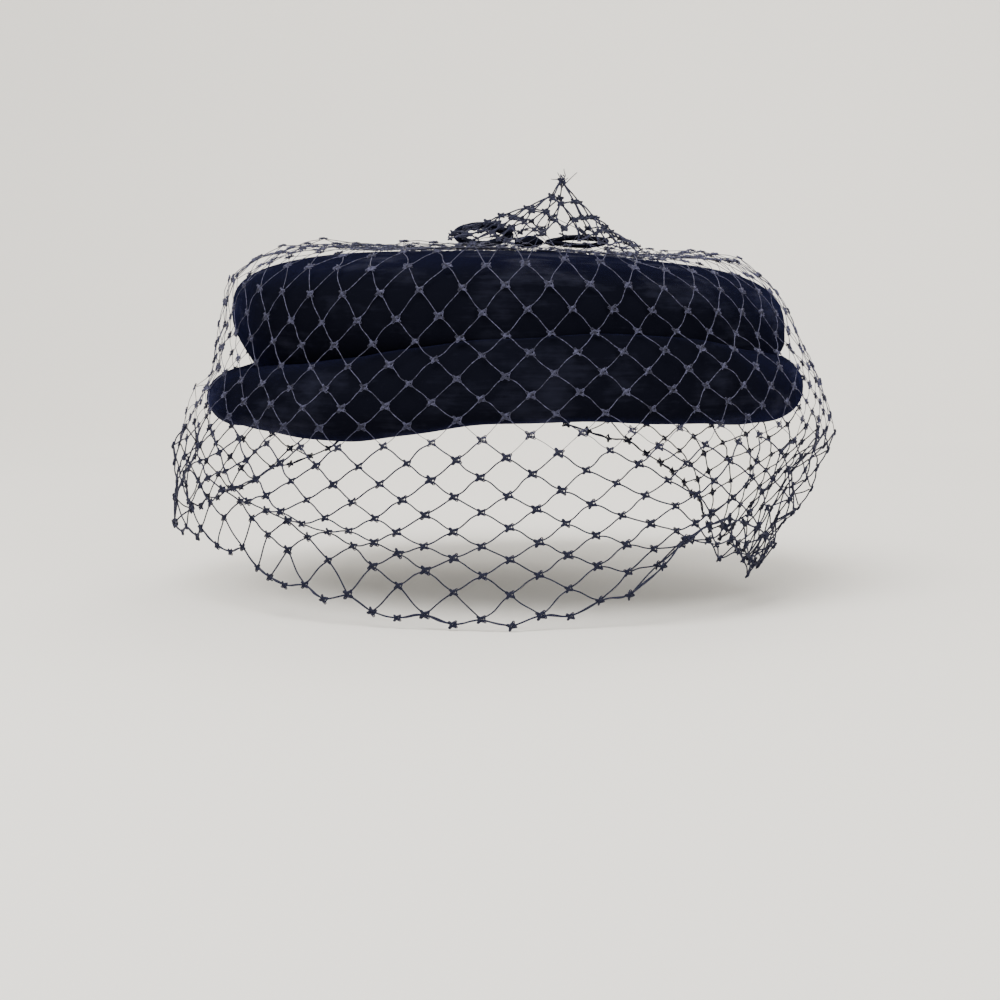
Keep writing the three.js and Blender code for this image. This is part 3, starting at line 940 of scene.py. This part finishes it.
class HAT_OT_cuff(bpy.types.Operator):
    """Make the upturned velvet cuff"""

    bl_idname = "hat.cuff"
    bl_label = "Cuff"

    def execute(self, context):
        velvet = context.scene.hat_velvet
        count = 256
        angle = np.arange(count) / count * TURN
        points = swept(walled(cuff_section(angle), CUFF_WALL, -1), angle)
        outward = unit(points * (1, 1, 0))
        points += outward * (velvet.unevenness * ripple(points * (1, 1, 0.3), 8, 38))[..., None]
        points[..., 2] += velvet.unevenness * ripple(points * (1, 1, 0), 9, 30) * 0.7
        faces = grid_faces(points.shape[1], points.shape[0], row_loop=True)
        flat = points.transpose(1, 0, 2).reshape(-1, 3)
        lay_piece("cuff_velvet", flat, [faces], velvet_finish("cuff_pile", 1.1), "velvet", ["cuff"])
        return {"FINISHED"}


class HAT_OT_bow(bpy.types.Operator):
    """Make the ribbon bow: two loops and the knot between them"""

    bl_idname = "hat.bow"
    bl_label = "Bow"

    def execute(self, context):
        finish = velvet_finish("ribbon_pile", 1.15)
        for name, (start, half_length, half_height, band, turn) in LOOPS.items():
            self.loop(name, start, half_length, half_height, band, math.radians(turn), finish)
        self.knot(finish)
        return {"FINISHED"}

    def loop(self, name, start, half_length, half_height, band, turn, finish):
        """A band of ribbon bent into a rounded loop, narrower where it enters the knot."""
        steps, edge, power = 96, 20, 0.86
        half_width, pinch = 6.5, 0.62
        t = np.arange(steps) / steps * TURN
        x = half_length * squared(np.cos(t), power)
        z = half_height * squared(np.sin(t), power)
        towards_knot = 1 if start < BOW_AT[0] else -1
        near = smooth((towards_knot * x / half_length + 0.1) / 1.0)
        z = z * mix(1, 0.72, near)
        along = np.stack([np.gradient(x), np.gradient(z)], -1)
        along[0] = along[-1] = (0, 1)
        along = unit(along)
        across = np.stack([along[:, 1], -along[:, 0]], -1)
        width = half_width * mix(1, pinch, near)
        s = np.arange(edge) / edge * TURN
        lip = squared(np.cos(s), 0.35)
        thick = squared(np.sin(s), 0.7)
        depth = band / 2
        points = np.empty((steps, edge, 3))
        points[..., 0] = x[:, None] - across[:, :1] * depth * (1 - thick[None])
        points[..., 1] = width[:, None] * lip[None]
        points[..., 2] = z[:, None] - across[:, 1:] * depth * (1 - thick[None])
        crease = np.cos(points[..., 1] * 1.5 + 0.6) * 0.25 * near[:, None]
        points[..., 2] += crease
        points += 0.25 * ripple(points, 21, 14)[..., None]
        c, n = math.cos(turn), math.sin(turn)
        spun = points.copy()
        spun[..., 0] = points[..., 0] * c - points[..., 1] * n + start
        spun[..., 1] = points[..., 0] * n + points[..., 1] * c + BOW_AT[1]
        spun[..., 2] = points[..., 2] + BOW_REST + half_height
        faces = grid_faces(steps, edge, row_loop=True)
        lay_piece(name + "_ribbon", spun.reshape(-1, 3), [faces], finish, "ribbon_velvet", [name])

    def knot(self, finish):
        """A short band pulled tight round the middle, with soft folds."""
        length, height, width = KNOT_SIZE
        rows, edge = 25, 40
        v = np.linspace(-1, 1, rows)
        s = np.arange(edge) / edge * TURN
        swell = np.sqrt(np.maximum(1 - np.abs(v) ** 4, 0.02))
        fold = 1 + 0.07 * np.cos(5 * s)[None] * (1 - v[:, None] ** 2)
        points = np.empty((rows, edge, 3))
        points[..., 0] = length * swell[:, None] * np.cos(s) * fold + BOW_AT[0]
        points[..., 1] = width * v[:, None] + BOW_AT[1]
        points[..., 2] = height * (swell[:, None] * np.sin(s) * fold + 1) + BOW_REST
        points += 0.2 * ripple(points, 33, 9)[..., None]
        ring = np.arange(edge)
        faces = [grid_faces(rows, edge), ring[None], (ring + (rows - 1) * edge)[::-1][None]]
        lay_piece("bow_knot_ribbon", points.reshape(-1, 3), faces, finish, "ribbon_velvet", ["bow_knot"])


class HAT_OT_veil(bpy.types.Operator):
    """Make the net veil: its strands, knots, hem thread and gather"""

    bl_idname = "hat.veil"
    bl_label = "Veil"

    def execute(self, context):
        net = context.scene.hat_net
        finish = net_finish()
        strand, thread, size = net.strand / MM, net.thread / MM, net.knot / MM
        points, normal, pairs, hem, kept, row = net_layout(net.columns, strand, net.seed)
        beside = np.roll(points.reshape(-1, net.columns, 3), -1, 1).reshape(-1, 3) - points
        room = np.clip(np.linalg.norm(beside, axis=1) / 9, 0.3, 1)
        paths, facing = strand_paths(points, normal, unit(beside), pairs, size * room, net.seed + 1)
        paths = keep_off(paths, STRAND_CLEARANCE)
        low = points[pairs][:, :, 2].mean(axis=1) < THICK_BELOW
        strands = (("veil_strands_upper", ~low, 0.28, ["veil"]), ("veil_strands_lower", low, 0.64, ()))
        for name, chosen, weight, replaced in strands:
            made = tubes(paths[chosen], weight * thread, 6, facing[chosen])
            lay_piece(name, *made, finish, "net", replaced)
        paths, facing = strand_paths(points, normal, unit(beside), hem, size * room * 0.5, net.seed + 3)
        lay_piece("veil_hem_thread", *tubes(paths, 0.72 * thread, 7, facing), finish, "net")
        low = points[:, 2] < THICK_BELOW
        for name, chosen, weight in (("veil_knots_upper", ~low, 0.95), ("veil_knots_lower", low, 1.4)):
            chosen = chosen & kept & (row > 2)
            width = size * room[chosen]
            made = knots(points[chosen], normal[chosen], beside[chosen], width, weight * thread, net.seed + 2)
            lay_piece(name, *made, finish, "net")
        self.fold(finish, thread, size, net.seed + 9)
        return {"FINISHED"}

    def fold(self, finish, thread, size, seed):
        """The fold of net that stands up near the front edge of the crown."""
        points, normal, pairs = fold_layout(seed)
        beside = np.broadcast_to(np.array([1.0, 0.0, 0.0]), points.shape)
        high = smooth((points[:, 2] - CROWN_TOP) / 9)
        room = mix(0.34, 0.7, high) * size
        paths, facing = strand_paths(points, normal, beside, pairs, room, seed + 1)
        lay_piece("veil_fold_strands", *tubes(paths, 0.6 * thread, 6, facing), finish, "net")
        made = knots(points, normal, beside, room, thread * 1.25, seed + 2)
        lay_piece("veil_fold_knots", *made, finish, "net")
        self.loose_ends(points[np.argmax(points[:, 2])], finish, thread, seed + 3)

    def loose_ends(self, tip, finish, thread, seed):
        """Short broken ends of thread at the tip of the standing fold."""
        rng = np.random.default_rng(seed)
        count, steps = 9, 10
        t = np.linspace(0, 1, steps)[None, :, None]
        start = tip + rng.normal(0, 0.9, (count, 3))
        lean = rng.normal(size=(count, 3)) * (1.5, 1.0, 0.4) + (0.5, 0, 0)
        rise = rng.uniform(0.4, 2.6, count)[:, None] * np.array([0.0, 0.0, 1.0])
        curl = rng.normal(0, 0.6, (count, 3))
        ends = start[:, None] + rise[:, None] * t + lean[:, None] * t**1.5
        ends = ends + curl[:, None] * np.sin(math.pi * t * 1.4)
        facing = np.broadcast_to((0.3, 0.9, 0.2), ends.shape)
        made = tubes(ends, 0.55 * thread * (1 - 0.5 * t[..., 0]), 5, facing)
        lay_piece("veil_loose_ends", *made, finish, "net")


class HAT_OT_stage(bpy.types.Operator):
    """Make the floor, the soft lights and the camera"""

    bl_idname = "hat.stage"
    bl_label = "Stage"

    def execute(self, context):
        stage = context.scene.hat_stage
        self.floor(stage)
        self.light(*KEY_LIGHT, stage.key_power)
        for row in FILL_LIGHTS:
            self.light(*row, stage.fill_power)
        world = context.scene.world or bpy.data.worlds.new("room")
        context.scene.world = world
        world.use_nodes = True
        background = world.node_tree.nodes["Background"]
        background.inputs["Color"].default_value = ROOM_COLOUR
        background.inputs["Strength"].default_value = 1.0
        camera = put_in_scene("camera", bpy.data.cameras.new("camera"))
        camera.data.lens = stage.lens
        camera.data.sensor_width = SENSOR_WIDTH
        camera.data.dof.use_dof = False
        camera.location = Vector(CAMERA_AT) * MM
        camera.rotation_euler = (math.pi / 2 - CAMERA_PITCH, 0, 0)
        context.scene.camera = camera
        return {"FINISHED"}

    def floor(self, stage):
        """A pale floor that sweeps up behind into a backdrop."""
        low = CAD_BOX[0][2] - FLOOR_DROP
        foot = FLOOR_BACK - FLOOR_BEND
        profile = [(FLOOR_FRONT, 0.0), (foot, 0.0)]
        for turn in np.linspace(0.1, math.pi / 2, 14):
            profile.append((foot + FLOOR_BEND * math.sin(turn), FLOOR_BEND - FLOOR_BEND * math.cos(turn)))
        profile.append((FLOOR_BACK, FLOOR_RISE))
        points = [(x, y, low + z) for y, z in profile for x in (-FLOOR_REACH, FLOOR_REACH)]
        faces = [(2 * i, 2 * i + 1, 2 * i + 3, 2 * i + 2) for i in range(len(profile) - 1)]
        data = bpy.data.meshes.new("floor")
        data.from_pydata(points, [], faces)
        data.shade_smooth()
        finish = Finish("floor_paint")
        grain = finish.noise((3, 3, 3), 2.0, 0.5)
        colour = finish.blend(grain, tinted(stage.floor, 0.97), tinted(stage.floor, 1.03))
        data.materials.append(finish.done(finish.surface(Base_Color=colour, Roughness=0.9)))
        put_in_scene("floor", data)

    def light(self, name, at, towards, size, share, colour, power):
        data = bpy.data.lights.new(name, "AREA")
        data.shape = "DISK"
        data.size = size
        data.energy = power * share
        data.color = colour
        lamp = put_in_scene(name, data)
        lamp.location = at
        lamp.rotation_euler = (Vector(towards) - Vector(at)).to_track_quat("-Z", "Y").to_euler()


class HAT_PT_panel(bpy.types.Panel):
    """The hat's settings and the steps that make it"""

    bl_idname = "HAT_PT_panel"
    bl_label = "Pillbox hat"
    bl_space_type = "VIEW_3D"
    bl_region_type = "UI"
    bl_category = "Hat"

    def draw(self, context):
        for settings in (context.scene.hat_velvet, context.scene.hat_net, context.scene.hat_stage):
            box = self.layout.box()
            for key in settings.__annotations__:
                box.prop(settings, key)
        for operator in OPERATORS:
            self.layout.operator(operator.bl_idname)


OPERATORS = (HAT_OT_crown, HAT_OT_cuff, HAT_OT_bow, HAT_OT_veil, HAT_OT_stage)
CLASSES = (VelvetSettings, NetSettings, StageSettings, *OPERATORS, HAT_PT_panel)


def register():
    for made in CLASSES:
        bpy.utils.register_class(made)
    bpy.types.Scene.hat_velvet = PointerProperty(type=VelvetSettings)
    bpy.types.Scene.hat_net = PointerProperty(type=NetSettings)
    bpy.types.Scene.hat_stage = PointerProperty(type=StageSettings)


def unregister():
    del bpy.types.Scene.hat_stage
    del bpy.types.Scene.hat_net
    del bpy.types.Scene.hat_velvet
    for made in reversed(CLASSES):
        bpy.utils.unregister_class(made)


def main():
    register()
    bpy.ops.hat.crown()
    bpy.ops.hat.cuff()
    bpy.ops.hat.bow()
    bpy.ops.hat.veil()
    bpy.ops.hat.stage()
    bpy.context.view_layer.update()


if __name__ == "__main__":
    main()
